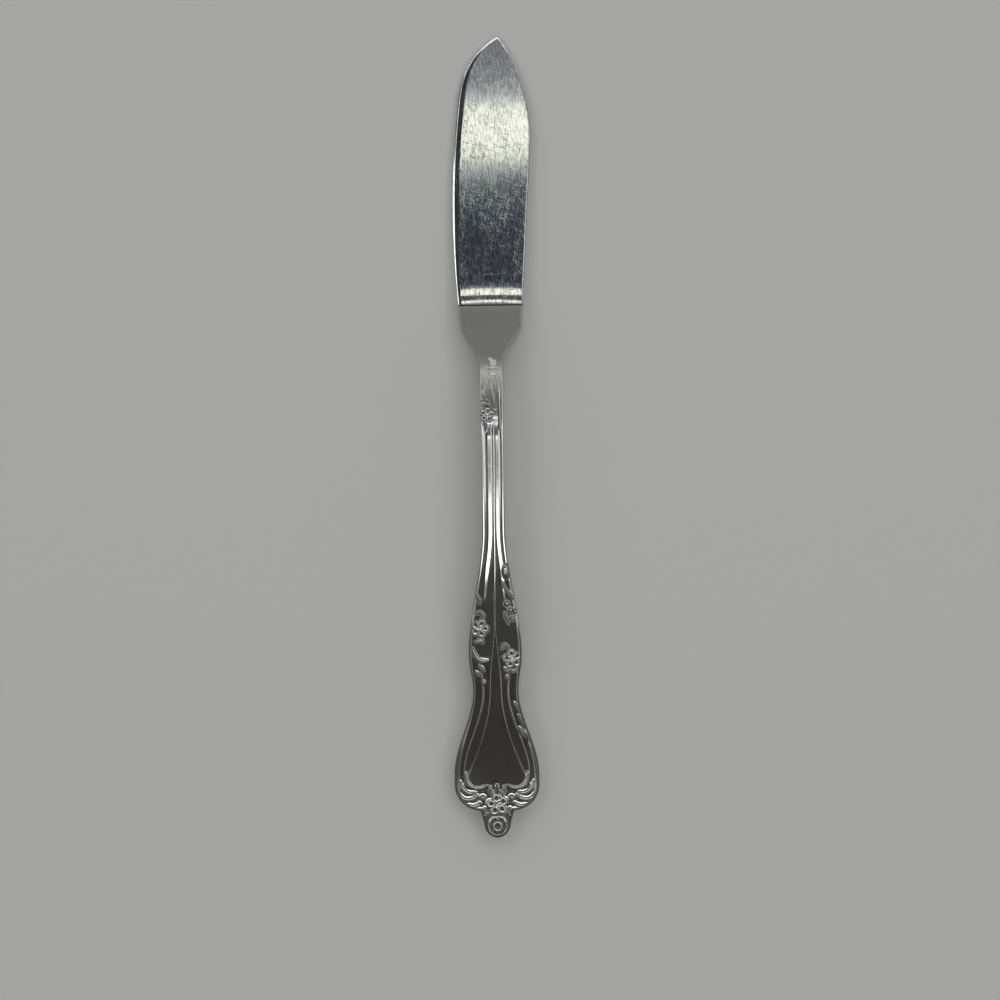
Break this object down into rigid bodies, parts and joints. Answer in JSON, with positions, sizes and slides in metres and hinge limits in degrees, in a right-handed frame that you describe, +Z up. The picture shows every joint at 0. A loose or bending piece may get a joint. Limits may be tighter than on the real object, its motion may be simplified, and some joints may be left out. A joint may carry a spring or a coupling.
{
  "type": "butter spreader",
  "caption": "Steel butter spreader: clipped spreading blade with a ground shoulder, tang-joined to a slim arched handle with fluted stem and struck floral scroll relief.",
  "frame": {"origin": "middle of the spreader's length and width, on the plane that it lies on", "axes": "+Y along the spreader from the handle to the tip of the blade, +X to the right towards the back of the blade, +Z up out of the decorated face"},
  "size_m": [0.0186, 0.1784, 0.0066],
  "materials": {
    "blade_steel": "ground and polished, with fine scratches from use",
    "handle_steel": "die-struck and polished",
    "braze": "thin silver-braze film, hidden in the joint"
  },
  "bodies": {
    "root": {"blade": "blade_steel", "handle": "handle_steel", "braze_film": "braze"}
  },
  "joints": []
}
